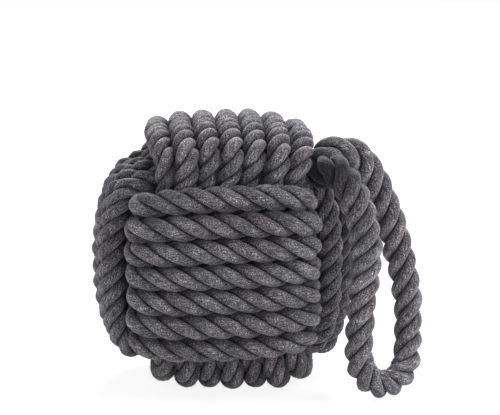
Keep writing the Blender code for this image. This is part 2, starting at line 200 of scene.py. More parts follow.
def layer_reach(axes, squareness, across, over, under, w, angle):
    """Distance from the centre to a squared ellipsoid, in the plane of a turn that lies w off its middle.

    Each coordinate is taken as a share of its axis and raised to the squareness, and they add up to one.
    """
    room = 1.0 - (np.abs(w) / axes[across]) ** squareness
    along = (STRETCH[under] * np.abs(np.cos(angle)) / axes[under]) ** squareness
    along += (STRETCH[over] * np.abs(np.sin(angle)) / axes[over]) ** squareness
    return (np.maximum(room, 0.05) / along) ** (1.0 / squareness)


def turn_line(band, number):
    """Centreline of one turn: once round the weight, under one band and over the other.

    It is a squared ellipse in polar form, blended from the inner layer to the outer one where it rises,
    and its place across the band steps on by half a turn at each end.
    """
    across, over, under = band.across, band.over, band.under
    angle = np.linspace(0.0, 2.0 * math.pi, FINE_STEPS + 1)
    rough = 0.5 * (
        layer_reach(INNER_AXES, band.covered_shape, across, over, under, 0.0, angle)
        + layer_reach(OUTER_AXES, band.open_shape, across, over, under, 0.0, angle)
    )
    lifted = rough * np.abs(np.sin(angle)) * STRETCH[over]
    rise = smooth((lifted - CORE_AXES[over] - DIVE_OUT + DIVE) / (2.0 * DIVE))
    step = 0.5 * smooth((angle - 2.0 * math.pi + HIDDEN_REACH) / HIDDEN_REACH)
    step -= 0.5 * smooth((HIDDEN_REACH - angle) / HIDDEN_REACH)
    opened = smooth((np.abs(np.sin(angle)) - PINCHED) / (SPREAD_OUT - PINCHED))
    w = (number - (TURNS + 1) / 2 + step) * (TURN_STEP - band.pinch + (band.pinch + band.spread) * opened)
    inner = layer_reach(INNER_AXES, band.covered_shape, across, over, under, w, angle)
    outer = layer_reach(OUTER_AXES, band.open_shape, across, over, under, w, angle)
    reach = inner + (outer - inner) * rise
    line = np.zeros((len(angle), 3))
    line[:, under] = band.hidden * reach * STRETCH[under] * np.cos(angle)
    line[:, over] = reach * STRETCH[over] * np.sin(angle)
    climb = -band.climb * opened * np.sign(np.sin(angle)) * line[:, under] / HALF_BAND
    line[:, across] = w + climb - band.roll * np.sin(angle)
    return CENTRE + line + rise[:, None] * band.shift


def one_line(pieces):
    """Pieces that each begin where the last one ended, as one line without the doubled points."""
    return np.concatenate([piece[:-1] for piece in pieces] + [pieces[-1][-1:]])


def section_axes(line, side):
    """At each point, the unit direction to the turn's side and the one out of the band."""
    heading = tangents(line)
    side = unit(side - (side * heading).sum(1)[:, None] * heading)
    return side, np.cross(heading, side)


def carried(line, side):
    """A direction to the side of a line, carried along it without turning round it."""
    sides = []
    for heading in tangents(line):
        side = unit(side - (side @ heading) * heading)
        sides.append(side)
    return np.array(sides)


def averaged(values, spread):
    """Each value replaced by the mean of those around it."""
    padded = np.pad(values, ((spread, spread), (0, 0)), mode="edge")
    return np.mean([padded[k : k + len(values)] for k in range(2 * spread + 1)], axis=0)


def support(u, side, out, width):
    """How far an eight-sided section reaches in direction u."""
    wide = np.abs((u * side).sum(-1)) * width / 2
    deep = np.abs((u * out).sum(-1)) * TURN_STEP / 2
    return np.maximum(wide + CORNER * deep, CORNER * wide + deep)


def near_pairs(start, ends):
    """Indices of points that lie near each other on different stretches of the rope."""
    first, second = [], []
    blocks = list(zip(ends, ends[1:]))
    for k, (a, b) in enumerate(blocks):
        for c, d in blocks[k:]:
            near = start[a:b, None] - start[None, c:d]
            i, j = np.nonzero((near**2).sum(2) < (NEAR * TURN_STEP) ** 2)
            kept = (j - i > FINE_STEPS // 4) if a == c else np.full(len(i), True)
            first.append(i[kept] + a)
            second.append(j[kept] + c)
    return np.concatenate(first), np.concatenate(second)


def run_of(line):
    """Length along a line at each of its points."""
    return np.concatenate([[0.0], np.cumsum(np.linalg.norm(np.diff(line, axis=0), axis=1))])


def joined(made):
    """Lines, side and outward directions and widths of all bands, end to end."""
    keys = ("line", "side", "out", "width")
    return [np.concatenate([coil[key] for coil in made.values()]) for key in keys]


@functools.lru_cache(maxsize=1)
def coils():
    """The three bands as long lines, settled against each other and the weight.

    In each round, points that are too near move apart, the moves are evened out along the rope, and the
    weight holds the covered turns out.
    """
    cut = int(END_SHARE * HIDDEN_REACH / (2.0 * math.pi) * FINE_STEPS)
    numbers = range(1, TURNS + 1)
    made = {}
    for name, band in BANDS.items():
        line = one_line([turn_line(band, number) for number in numbers])[cut:-cut]
        steps = [turn_line(band, number + 0.5) - turn_line(band, number - 0.5) for number in numbers]
        edges = one_line(steps)[cut:-cut]
        side, out = section_axes(line, edges)
        width = np.minimum((side * edges).sum(1), TURN_STEP + band.spread) - CLEARANCE
        made[name] = {"line": line, "side": side, "out": out, "width": width}
    ends = np.cumsum([0] + [len(coil["line"]) for coil in made.values()])
    start, side, out, width = joined(made)
    first, second = near_pairs(start, ends)
    moved = np.zeros_like(start)
    for _ in range(SETTLING_ROUNDS):
        apart = (start + moved)[second] - (start + moved)[first]
        distance = np.linalg.norm(apart, axis=1)
        u = apart / distance[:, None]
        reach = support(u, side[first], out[first], width[first])
        reach += support(u, side[second], out[second], width[second])
        short = np.maximum(SECTION_GAP + PRESSED * reach - distance, 0.0)
        push, worst = np.zeros_like(start), np.zeros(len(start))
        for index, sign in ((first, -1.0), (second, 1.0)):
            np.maximum.at(worst, index, short)
            np.add.at(push, index, sign * short[:, None] * u)
        moved += (0.5 * worst / np.maximum(np.linalg.norm(push, axis=1), 1e-9))[:, None] * push
        for a, b in zip(ends, ends[1:]):
            moved[a:b] += FAIRING * (averaged(moved[a:b], EASING) - moved[a:b])
        place = start + moved - CENTRE
        inside = np.maximum(1.0 / np.linalg.norm(place / INNER_AXES, axis=1) - 1.0, 0.0)
        moved += inside[:, None] * place
    for coil, a, b in zip(made.values(), ends, ends[1:]):
        coil["line"] = start[a:b] + moved[a:b]
        coil["side"], coil["out"] = section_axes(coil["line"], coil["side"])
        coil["starts"] = [0] + [number * FINE_STEPS - cut for number in range(1, TURNS)] + [b - a - 1]
        coil["run"] = run_of(coil["line"])
        coil["cut"] = cut
    return made


def curve_through(points, steps):
    """A Catmull-Rom curve through points, with so many steps between each two."""
    points = np.array([2 * points[0] - points[1], *points, 2 * points[-1] - points[-2]])
    t = (np.arange(steps) / steps)[:, None, None]
    before, start, end, after = points[:-3], points[1:-2], points[2:-1], points[3:]
    line = 0.5 * (
        2 * start + (end - before) * t
        + (2 * before - 5 * start + 4 * end - after) * t**2
        + (3 * start - before - 3 * end + after) * t**3
    )
    return np.concatenate([line.transpose(1, 0, 2).reshape(-1, 3), points[-2:-1]])


@functools.lru_cache(maxsize=1)
def loop_line():
    """The loop's course: a curve through its route, pushed clear of the turns, that goes on into the knot.

    In each round a point moves half of what it lacks from the turn that it is nearest to, and the moves
    are evened out along the rope.
    """
    corner = CENTRE + (HALF_BAND, -HALF_BAND, CORE_AXES[Z])
    lowest = LOOP_ROPE / 2 + CLEARANCE
    drop = corner[Z] - lowest
    route = [corner + (out, -forward, -down * drop) for out, forward, down in LOOP_ROUTE]
    laid = curve_through(np.array(route), LOOP_STEPS)
    knot, side, out, width = joined(coils())
    near = knot[:, X] > CENTRE[X]
    knot, side, out, width = knot[near], side[near], out[near], width[near]
    moved = np.zeros_like(laid)
    for _ in range(SETTLING_ROUNDS):
        apart = (laid + moved)[:, None] - knot
        distance = np.linalg.norm(apart, axis=2)
        u = apart / distance[..., None]
        short = PRESSED * support(u, side, out, width) + LOOP_ROPE / 2 + SECTION_GAP - distance
        worst = short.argmax(axis=1)[:, None]
        push = np.maximum(np.take_along_axis(short, worst, 1), 0.0)
        moved += 0.5 * push * np.take_along_axis(u, worst[..., None], 1)[:, 0]
        moved += FAIRING * (averaged(moved, EASING) - moved)
    line = laid + moved
    line[:, Z] = np.maximum(line[:, Z], lowest)
    first = curve_through(np.array([line[0] + UPPER_HIDDEN, line[0]]), LOOP_STEPS)
    last = curve_through(np.array([line[-1], line[-1] + LOWER_HIDDEN]), LOOP_STEPS)
    return one_line([first, line, last])


def wobble(run, seed, reach):
    """A slow uneven wave along a length: the mean of three sines that don't repeat together."""
    phase = WOBBLE_PHASES + WOBBLE_STEP * seed
    return reach * np.sin(run[..., None] * 2 * math.pi / WOBBLES + phase).mean(-1)


def strand_profile(sizes):
    """Angle round the rope and reach of each column of the mesh, and how near it lies to a groove.

    Around the rope each strand is an arc of a circle: at an angle d from its middle it reaches
    c cos d + sqrt(q^2 - c^2 sin^2 d), with c + q = 1. Where two strands meet, a narrow bell curve is cut
    away. The columns crowd together there, as the sine of an even spacing.
    """
    spacing = np.linspace(-1.0, 1.0, sizes.columns, endpoint=False)
    strand = math.pi / 3 * np.sin(0.5 * math.pi * spacing)
    c = 1.0 - sizes.strand_round
    reach = c * np.cos(strand) + np.sqrt(sizes.strand_round**2 - (c * np.sin(strand)) ** 2)
    reach -= sizes.groove_cut * np.exp(-(((math.pi / 3 - np.abs(strand)) / sizes.groove_width) ** 2))
    column = (strand + 2 * math.pi / 3 * np.arange(3)[:, None]).ravel()
    return column, np.tile(reach, 3), np.tile(np.abs(strand) * 3 / math.pi, 3)


def loose_fibres(points, line, depth, length, seed):
    """Corners of the fibres that stand off a rope, a thin closed spike each, and the point that roots each.

    They start at random points away from the grooves and point outwards, aslant to the surface. The three
    corners of a root lie evenly round the fibre, just under the surface, and the last one is its tip.
    """
    sizes = bpy.context.scene.doorstop_sizes
    dice = np.random.default_rng(seed)
    count = int(sizes.fibres * length)
    row = dice.integers(1, len(line) - 1, count)
    place = dice.choice(np.nonzero(depth < OFF_GROOVE)[0], count)
    root = points[row, place]
    outward = unit(root - line[row])
    aslant = unit(dice.normal(size=(count, 3)))
    reach = sizes.fibre_length * dice.uniform(0.3, 1.0, (count, 1)) ** 1.5
    tip = root + reach * unit(outward + ASLANT * aslant)
    root = root - FIBRE_ROOT * outward
    across = sizes.fibre_width / 2 * unit(np.cross(outward, aslant))
    upright = math.sqrt(0.75) * np.cross(unit(tip - root), across)
    corners = [root + across, root - 0.5 * across + upright, root - 0.5 * across - upright, tip]
    kept = np.minimum(root[:, Z], tip[:, Z]) > 2 * CLEARANCE
    rooted = np.repeat((row * points.shape[1] + place)[kept], 4)
    return np.stack(corners, axis=1)[kept], rooted


def closed_rope(points, line, spikes):
    """Vertices, face corners and corners per face of a grid of points, closed round a line and at its ends.

    Its four-sided faces come first, then a fan of triangles at each end, then the spikes on it. What would
    lie under the floor lies on it.
    """
    rows, around = points.shape[:2]
    grid = np.arange(rows * around).reshape(rows, around)
    onward = np.roll(grid, -1, axis=1)
    faces = np.stack([grid[:-1], onward[:-1], onward[1:], grid[1:]], axis=-1).reshape(-1, 4)
    first_cap = np.stack([onward[0], grid[0], np.full(around, rows * around)], axis=-1)
    last_cap = np.stack([grid[-1], onward[-1], np.full(around, rows * around + 1)], axis=-1)
    sides = rows * around + 2 + 4 * np.arange(len(spikes))[:, None] + SPIKE_CORNERS
    vertices = np.concatenate([points.reshape(-1, 3), line[:1], line[-1:], spikes.reshape(-1, 3)])
    vertices[:, Z] = np.maximum(vertices[:, Z], CLEARANCE)
    loops = np.concatenate([part.ravel() for part in (faces, first_cap, last_cap, sides)])
    counts = np.concatenate([np.full(len(faces), 4), np.full(2 * around + 4 * len(spikes), 3)])
    return vertices, loops, counts


def lay_coordinates(run, column, rooted, loops):
    """Length along the rope and distance round it, in metres, at each corner of each face.

    A face that lies across the seam has its distances counted on past a full turn.
    """
    girth = math.pi * LOOP_ROPE
    uv = np.stack(np.broadcast_arrays(run[:, None], column * LOOP_ROPE / 2), axis=-1).reshape(-1, 2)
    ends = np.array([[run[0], 0.0], [run[-1], 0.0]])
    uv = np.concatenate([uv, ends, uv[rooted]])[loops]
    wraps = uv[: 4 * (len(run) - 1) * len(column)].reshape(-1, 4, 2)
    seam = np.ptp(wraps[:, :, 1], axis=1) > girth / 2
    wraps[seam, :, 1] += np.where(wraps[seam, :, 1] < girth / 2, girth, 0.0)
    return uv


def laid_rope(name, line, side, out, run, turned, half, walls, seed, shade=0.0):
    """A rope of three strands along a line, as one closed mesh, whose strands are turned so far at each row.

    A point lies off the line by the half width and the cosine of its angle to the side, and by the half
    depth and its sine outwards, both times the profile's reach. half holds those two, walls says which of
    its sides lie against a neighbour, where shade is painted on it, and shade how much painted shade it
    is given besides. The columns of the grid follow the strands, so that the grooves between them stay sharp.
    """
    sizes = bpy.context.scene.doorstop_sizes
    column, profile, depth = strand_profile(sizes)
    strand = np.repeat(np.arange(3), sizes.columns)
    reach = profile * (1.0 + wobble(run[:, None] + STRAND_SHIFT * strand, seed, sizes.uneven))
    angle = column + turned[:, None]
    wide, deep = np.cos(angle), np.sin(angle)
    half = [np.reshape(h, (-1, 1)) for h in half]
    points = line[:, None] + (half[0] * reach * wide)[..., None] * side[:, None]
    points += (half[1] * reach * deep)[..., None] * out[:, None]
    spikes, rooted = loose_fibres(points, line, depth, run[-1] - run[0], seed)
    vertices, loops, counts = closed_rope(points, line, spikes)
    mesh = bpy.data.meshes.new(name)
    mesh.vertices.add(len(vertices))
    mesh.vertices.foreach_set("co", vertices.ravel())
    mesh.loops.add(len(loops))
    mesh.loops.foreach_set("vertex_index", loops)
    mesh.polygons.add(len(counts))
    mesh.polygons.foreach_set("loop_start", np.concatenate([[0], np.cumsum(counts)[:-1]]))
    mesh.update(calc_edges=True)
    uv = lay_coordinates(run, column, rooted, loops)
    mesh.uv_layers.new(name="Lay").data.foreach_set("uv", uv.astype(np.float32).ravel())
    # How near each point lies to a groove, and the painted shade where a neighbour or the band under it shuts
    # it in, together with the painted shade it is given
    painted_shade = WALL_SHADE * np.where(wide > 0.0, walls[1], walls[0]) * ramp(np.abs(wide), *WALL_RAMP)
    painted_shade = np.maximum(painted_shade, WALL_SHADE * max(walls) * ramp(deep, *UNDER_RAMP))
    painted_shade = np.maximum(painted_shade, np.reshape(shade, (-1, 1)))
    for label, values in (("groove", np.broadcast_to(depth, angle.shape)), ("painted_shade", painted_shade)):
        values = values.ravel()
        values = np.concatenate([values, [0.0, 0.0], values[rooted]]).astype(np.float32)
        mesh.attributes.new(label, "FLOAT", "POINT").data.foreach_set("value", values)
    mesh.shade_smooth()
    made = bpy.data.objects.new(name, mesh)
    bpy.context.scene.collection.objects.link(made)
    return made


def nodes_of(tree):
    """Empties a node tree and gives a function that adds a node to it, linked to its inputs."""
    tree.nodes.clear()

    def add(kind, inputs=None, **settings):
        node = tree.nodes.new(kind)
        for key, value in settings.items():
            setattr(node, key, value)
        for key, value in (inputs or {}).items():
            if isinstance(value, bpy.types.NodeSocket):
                tree.links.new(value, node.inputs[key])
            else:
                node.inputs[key].default_value = value
        return node

    return add


def colour_mix(add, factor, a, b):
    """A colour that goes from a to b as the factor goes from 0 to 1."""
    node = add("ShaderNodeMix", data_type="RGBA")
    for socket, value in zip((0, 6, 7), (factor, a, b)):
        node.id_data.links.new(value, node.inputs[socket])
    return node.outputs[2]


@functools.lru_cache(maxsize=1)
def cotton_group():
    """Heathered cotton: pale and dark fibres mixed, fibres that run along the rope, and painted shade in the
    grooves and where it is shut in.

    The tone is the exponential of a weighted sum of noises, so that it varies by shares of itself.
    """
    group = bpy.data.node_groups.new("Cotton Yarn", "ShaderNodeTree")
    for label, kind, value in (
        ("Colour", "NodeSocketColor", (0.1, 0.1, 0.105, 1.0)),
        ("Warm", "NodeSocketColor", (0.1, 0.095, 0.09, 1.0)),
        ("Fleck", "NodeSocketColor", (0.3, 0.3, 0.3, 1.0)),
        ("Dark", "NodeSocketColor", (0.02, 0.02, 0.02, 1.0)),
        ("Fleck Size", "NodeSocketFloat", 0.0007),
        ("Heather", "NodeSocketFloat", 5.6),
    ):
        group.interface.new_socket(label, in_out="INPUT", socket_type=kind).default_value = value
    group.interface.new_socket("Colour", in_out="OUTPUT", socket_type="NodeSocketColor")
    group.interface.new_socket("Height", in_out="OUTPUT", socket_type="NodeSocketFloat")
    add = nodes_of(group)
    given = add("NodeGroupInput").outputs
    place = add("ShaderNodeTexCoord").outputs["Object"]
    lay = add("ShaderNodeSeparateXYZ", {0: add("ShaderNodeUVMap", uv_map="Lay").outputs["UV"]}).outputs
    groove = add("ShaderNodeAttribute", attribute_name="groove").outputs["Fac"]
    painted_shade = add("ShaderNodeAttribute", attribute_name="painted_shade").outputs["Fac"]

    def maths(operation, a, b=0.0, c=0.0):
        return add("ShaderNodeMath", {0: a, 1: b, 2: c}, operation=operation).outputs[0]

    def noise(vector, scale, detail, roughness=0.5):
        settings = {"Vector": vector, "Scale": scale, "Detail": detail, "Roughness": roughness}
        return add("ShaderNodeTexNoise", settings).outputs["Fac"]

    def streaks(slant, along, across, detail, offset=0.0):
        """Noise drawn out along the rope: aslant to it, and so often in a metre along and across."""
        slanted = maths("MULTIPLY_ADD", lay["X"], slant, lay["Y"])
        x, y = maths("MULTIPLY", lay["X"], along), maths("MULTIPLY", slanted, across)
        return noise(add("ShaderNodeCombineXYZ", {0: x, 1: y, 2: offset}).outputs[0], 1.0, detail)

    def ranged(value, low, high, to_low=0.0, to_high=1.0):
        settings = {"Value": value, "From Min": low, "From Max": high, "To Min": to_low, "To Max": to_high}
        return add("ShaderNodeMapRange", settings, interpolation_type="SMOOTHSTEP").outputs[0]

    def weighted(noise, weight, rest):
        """A noise about its middle, times its weight, added to the rest."""
        return maths("MULTIPLY_ADD", maths("SUBTRACT", noise, 0.5), weight, rest)

    fleck = noise(place, maths("DIVIDE", 1.0, given["Fleck Size"]), 1.5, 0.6)
    drift = noise(place, 90.0, 2.0)
    warmth = noise(place, 38.0, 3.0, 0.6)
    # Fibres lie along the rope, which is aslant to its strands, and pale hairs cross them
    fibre = streaks(1.15, 240.0, 1300.0, 2.0)
    hair = ranged(streaks(0.55, 420.0, 1700.0, 1.0, 3.7), 0.62, 0.78)
    tone = weighted(fleck, given["Heather"], 0.0)
    tone = weighted(drift, 1.6, weighted(fibre, 3.2, tone))
    base = colour_mix(add, ranged(warmth, 0.42, 0.62), given["Colour"], given["Warm"])
    tinted = add("ShaderNodeVectorMath", {0: base, "Scale": maths("EXPONENT", tone)}, operation="SCALE")
    base = colour_mix(add, maths("MULTIPLY", hair, 0.2), tinted.outputs[0], given["Fleck"])
    # A wide soft shade beside a groove, a narrow dark one in it, and the shade of what shuts it in
    base = colour_mix(add, ranged(groove, 0.45, 1.0, 0.0, 0.45), base, given["Dark"])
    base = colour_mix(add, ranged(groove, 0.80, 0.97, 0.0, 0.9), base, given["Dark"])
    base = colour_mix(add, maths("MULTIPLY", painted_shade, 0.88), base, given["Dark"])
    height = maths("MULTIPLY_ADD", fleck, 0.6, maths("MULTIPLY", fibre, 0.7))
    height = maths("MULTIPLY_ADD", hair, 0.3, height)
    add("NodeGroupOutput", {"Colour": base, "Height": height})
    return group


@functools.lru_cache(maxsize=len(BANDS) + 1)
def cotton(name, shade):
    """Matt charcoal cotton whose loose fibres catch the light at its edges. Its colours are scaled by shade,
    which paints light on a piece above 1 and shade below it.
    """
    colours = bpy.context.scene.doorstop_colours
    made = bpy.data.materials.new(name)
    made.use_nodes = True
    add = nodes_of(made.node_tree)
    yarn = add("ShaderNodeGroup", node_tree=cotton_group())
    for label, colour in (("Colour", colours.rope), ("Warm", colours.warm), ("Fleck", colours.fleck)):
        yarn.inputs[label].default_value = [shade * v for v in colour] + [1.0]
    yarn.inputs["Dark"].default_value = [*colours.dark, 1.0]
    bump = add("ShaderNodeBump", {"Height": yarn.outputs["Height"], "Strength": 1.0, "Distance": 0.0007})
    shader = add("ShaderNodeBsdfPrincipled", {
        "Base Color": yarn.outputs["Colour"], "Normal": bump.outputs[0],
        "Roughness": 0.95, "Specular IOR Level": 0.1,
        "Sheen Weight": 0.3, "Sheen Roughness": 0.4, "Sheen Tint": (0.85, 0.86, 0.9, 1.0),
    })
    add("ShaderNodeOutputMaterial", {"Surface": shader.outputs[0]})
    return made


@functools.lru_cache(maxsize=1)
def concrete():
    """Rough cast concrete, for the weight inside."""
    made = bpy.data.materials.new("Cast Concrete")
    made.use_nodes = True
    add = nodes_of(made.node_tree)
    place = add("ShaderNodeTexCoord").outputs["Object"]
    grain = add("ShaderNodeTexNoise", {"Vector": place, "Scale": 320.0, "Detail": 6.0}).outputs["Fac"]
    pits = add("ShaderNodeTexVoronoi", {"Vector": place, "Scale": 180.0}).outputs["Distance"]
    colour = bpy.context.scene.doorstop_colours.weight
    dark = [0.6 * v for v in colour] + [1.0]
    tone = add("ShaderNodeValToRGB", {"Fac": grain})
    for element, position, tint in zip(tone.color_ramp.elements, (0.3, 0.7), (dark, [*colour, 1.0])):
        element.position, element.color = position, tint
    height = add("ShaderNodeMath", {0: grain, 1: pits}, operation="ADD").outputs[0]
    bump = add("ShaderNodeBump", {"Height": height, "Strength": 0.6, "Distance": 0.0008})
    shader = add("ShaderNodeBsdfPrincipled", {
        "Base Color": tone.outputs[0], "Normal": bump.outputs[0], "Roughness": 0.9,
    })
    add("ShaderNodeOutputMaterial", {"Surface": shader.outputs[0]})
    return made


class DoorstopSizes(bpy.types.PropertyGroup):
    """Sizes of the rope as it looks."""

    packed_depth: bpy.props.FloatProperty(
        name="Packed depth", description="Thickness of the rope where it is packed in the knot",
        default=0.0144, min=0.012, max=0.018, unit="LENGTH",
    )
    sunk: bpy.props.FloatProperty(
        name="Sunk", description="How far the packed rope lies inside the middle of its full section",
        default=0.0009, min=0.0, max=0.002, unit="LENGTH",
    )
    slack_rope: bpy.props.FloatProperty(
        name="Slack rope", description="Diameter of the rope in the loop",
        default=0.0166, min=0.014, max=0.019, unit="LENGTH",
    )
    slack_swell: bpy.props.FloatProperty(
        name="Slack swell", description="How much thicker it is at its top and its inner limb, as a share",
        default=0.13, min=0.0, max=0.3,
    )
    slack_lay: bpy.props.FloatProperty(
        name="Slack lay", description="Length in which a strand turns once round the loop's rope",
        default=0.036, min=0.02, max=0.08, unit="LENGTH",
    )
    strand_round: bpy.props.FloatProperty(
        name="Strand radius", description="Radius of a strand as a share of the rope's, flatter if more",
        default=0.56, min=0.47, max=0.95,
    )
    groove_cut: bpy.props.FloatProperty(
        name="Groove cut", description="Extra depth of the grooves, as a share of the rope's radius",
        default=0.08, min=0.0, max=0.3,
    )
    groove_width: bpy.props.FloatProperty(
        name="Groove width", description="Half width of that cut, as an angle round the rope",
        default=0.09, min=0.02, max=0.4, subtype="ANGLE",
    )
    uneven: bpy.props.FloatProperty(
        name="Unevenness", description="How much the strands swell and shrink, as a share of their reach",
        default=0.05, min=0.0, max=0.15,
    )
    fibres: bpy.props.FloatProperty(
        name="Fibres", description="Loose fibres in each metre of rope",
        default=15000.0, min=0.0, max=40000.0,
    )
    fibre_length: bpy.props.FloatProperty(
        name="Fibre length", description="How far the longest loose fibres reach",
        default=0.0026, min=0.0, max=0.006, unit="LENGTH",
    )
    fibre_width: bpy.props.FloatProperty(
        name="Fibre width", description="Width of a loose fibre at its root",
        default=0.00012, min=0.00002, max=0.0003, unit="LENGTH",
    )
    row_length: bpy.props.FloatProperty(
        name="Row length", description="Length of rope that one row of the mesh covers",
        default=0.0013, min=0.0005, max=0.003, unit="LENGTH",
    )
    columns: bpy.props.IntProperty(
        name="Columns", description="Columns of the mesh across one strand",
        default=24, min=6, max=40,
    )


def colour_property(name, description, default):
    """A colour that a user may change."""
    return bpy.props.FloatVectorProperty(
        name=name, description=description, default=default, subtype="COLOR", min=0.0, max=1.0,
    )


class DoorstopColours(bpy.types.PropertyGroup):
    """Colours of the rope, the weight and the floor."""

    rope: colour_property("Rope", "Charcoal of the cotton", (0.110, 0.107, 0.117))
    warm: colour_property("Warm rope", "Browner charcoal in the cotton's drifts", (0.108, 0.098, 0.105))
    fleck: colour_property("Flecks", "Pale fibres in the cotton", (0.30, 0.295, 0.305))
    # dark is only the colour of painted shade: in the grooves, where the rope is shut in, behind the loop and
    # at its ends
    dark: colour_property("Painted shade", "Painted shade in the grooves and where the rope is shut in", (0.006, 0.006, 0.007))
    weight: colour_property("Weight", "Concrete of the weight inside", (0.42, 0.41, 0.39))
    floor: colour_property("Floor", "The pale floor", (0.9, 0.9, 0.9))


def resampled(run, values, rows):
    """Values along a line, read off at other lengths."""
    return np.stack([np.interp(rows, run, values[:, axis]) for axis in (X, Y, Z)], axis=-1)


def own_form(name, number, line, out):
    """A turn's line with the bulge or lean of its place, and how much thicker it is there, as a share."""
    sideways = ((line - CENTRE) / OUTER_AXES)[:, X]
    swell = np.zeros(len(line))
    if name == "side_turn" and number == 1:
        swell = LEFT_SWELL * ramp(-sideways, *SIDE_RAMP)
    elif name == "side_turn":
        line = line + (SIDE_BULGE * ramp(sideways, *SIDE_RAMP))[:, None] * out
    elif name == "top_turn":
        height = line[:, Z] - CENTRE[Z]
        lean = ramp(height, *LEAN_TO) * ramp(height, *LEAN_FROM) * (line[:, Y] < CENTRE[Y])
        line = line + (FRONT_LEAN * lean)[:, None] * (1.0, 0.0, 0.0)
    return line, swell


def dress_band(name):
    """Replaces each turn of a band with laid rope along the same course."""
    sizes = bpy.context.scene.doorstop_sizes
    coil, dress = coils()[name], DRESSES[name]
    run = coil["run"]
    outward = np.sign((coil["out"] * (coil["line"] - CENTRE)).sum())
    for number in range(1, TURNS + 1):
        first, last = coil["starts"][number - 1], coil["starts"][number]
        span = run[last] - run[first]
        rows = run[first] + np.linspace(0.0, span, int(span / sizes.row_length) + 1)
        side = outward * unit(resampled(run, coil["side"], rows))
        out = outward * unit(resampled(run, coil["out"], rows))
        line, swell = own_form(name, number, resampled(run, coil["line"], rows), out)
        shade = 0.0
        if name == "side_turn" and number > 1:
            # These lie behind the loop, and its shadow is painted on them as shade that deepens nearer to it
            beside = np.linalg.norm(line[:, None] - loop_line(), axis=2).min(axis=1)
            shade = LOOP_SHADE * ramp(beside, *LOOP_SHADE_RAMP)
        seen = (number - 1 + dress.middle) * FINE_STEPS - coil["cut"]
        middle = np.interp(seen, np.arange(len(run)), run)
        turned = (2 * math.pi / dress.lay) * (rows - middle) + dress.phases[number - 1]
        half = ((1.0 + swell) * dress.width / 2, (1.0 + swell) * sizes.packed_depth / 2)
        walls = (float(number > 1), float(number < TURNS))
        line = line - (0.5 * swell * dress.width * outward)[:, None] * side
        line = line + (swell * sizes.packed_depth - sizes.sunk)[:, None] * out
        rope = laid_rope(
            f"{name}_{number}_rope", line, side, out, rows, turned, half,
            walls if outward > 0 else walls[::-1], 10 * list(BANDS).index(name) + number, shade,
        )
        # Each band gets its own copy of the cotton, lightened or darkened by its shade: painted light and
        # shade
        rope.data.materials.append(cotton(f"Cotton {name}", dress.shade))
        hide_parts(f"{name}_{number}")
        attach(rope, "knot")


class DOORSTOP_OT_front_turns(bpy.types.Operator):
    """Dresses the level turns at the front and back"""

    bl_idname = "doorstop.front_turns"
    bl_label = "Front turns"

    def execute(self, context):
        dress_band("front_turn")
        return {"FINISHED"}


class DOORSTOP_OT_top_turns(bpy.types.Operator):
    """Dresses the turns that run front to back"""

    bl_idname = "doorstop.top_turns"
    bl_label = "Top turns"

    def execute(self, context):
        dress_band("top_turn")
        return {"FINISHED"}


class DOORSTOP_OT_side_turns(bpy.types.Operator):
    """Dresses the turns that run left to right"""

    bl_idname = "doorstop.side_turns"
    bl_label = "Side turns"

    def execute(self, context):
        dress_band("side_turn")
        return {"FINISHED"}


class DOORSTOP_OT_loop(bpy.types.Operator):
    """Lays the slack carrying loop from beside the last top turn round to the corner hole"""

    bl_idname = "doorstop.loop"
    bl_label = "Carrying loop"

    def execute(self, context):
        sizes = context.scene.doorstop_sizes
        fine = loop_line()
        run = run_of(fine)
        rows = np.linspace(0.0, run[-1], int(run[-1] / sizes.row_length) + 1)
        line = resampled(run, fine, rows)
        side = carried(line, np.array([0.0, 0.0, 1.0]))
        # Slack rope is thicker, but not where it hangs lowest
        share = rows / rows[-1]
        thin = ramp(share, *THIN_FROM) * ramp(share, *THIN_TO)
        half = sizes.slack_rope / 2 * (1.0 + sizes.slack_swell * (1.0 - thin))
        # The strands lie closer together towards the corner hole
        tight = 1.0 + TIGHTER * ramp(share, *TIGHT_RAMP)
        turned = np.cumsum((2 * math.pi / sizes.slack_lay) * rows[1] * tight) + LOOP_PHASE
        # Painted shade at both ends, where the loop goes into the knot
        shade = np.maximum(ramp(share, *LOWER_SHADE_RAMP), UPPER_SHADE * ramp(share, *UPPER_SHADE_RAMP))
        rope = laid_rope(
            "loop_rope", line, side, np.cross(tangents(line), side), rows, turned,
            (half, half), (0.0, 0.0), 3, shade,
        )
        # The loop's copy of the cotton is a tenth lighter: painted light
        rope.data.materials.append(cotton("Cotton loop", 1.1))
        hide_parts("handle_loop", "handle_root_upper", "handle_root_lower")
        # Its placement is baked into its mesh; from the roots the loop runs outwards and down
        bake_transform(rope)
        return {"FINISHED"}


class DOORSTOP_OT_weight(bpy.types.Operator):
    """Gives the weight inside its concrete"""

    bl_idname = "doorstop.weight"
    bl_label = "Weight"

    def execute(self, context):
        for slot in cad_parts["core_weight"].material_slots:
            slot.material = concrete()
        return {"FINISHED"}


def seen_directly(add):
    """1 for rays from the camera and those that glossy or clear surfaces send on, and 0 for others."""
    rays = add("ShaderNodeLightPath").outputs
    seen = rays["Is Camera Ray"]
    for kind in ("Is Glossy Ray", "Is Transmission Ray"):
        seen = add("ShaderNodeMath", {0: seen, 1: rays[kind]}, operation="MAXIMUM").outputs[0]
    return seen


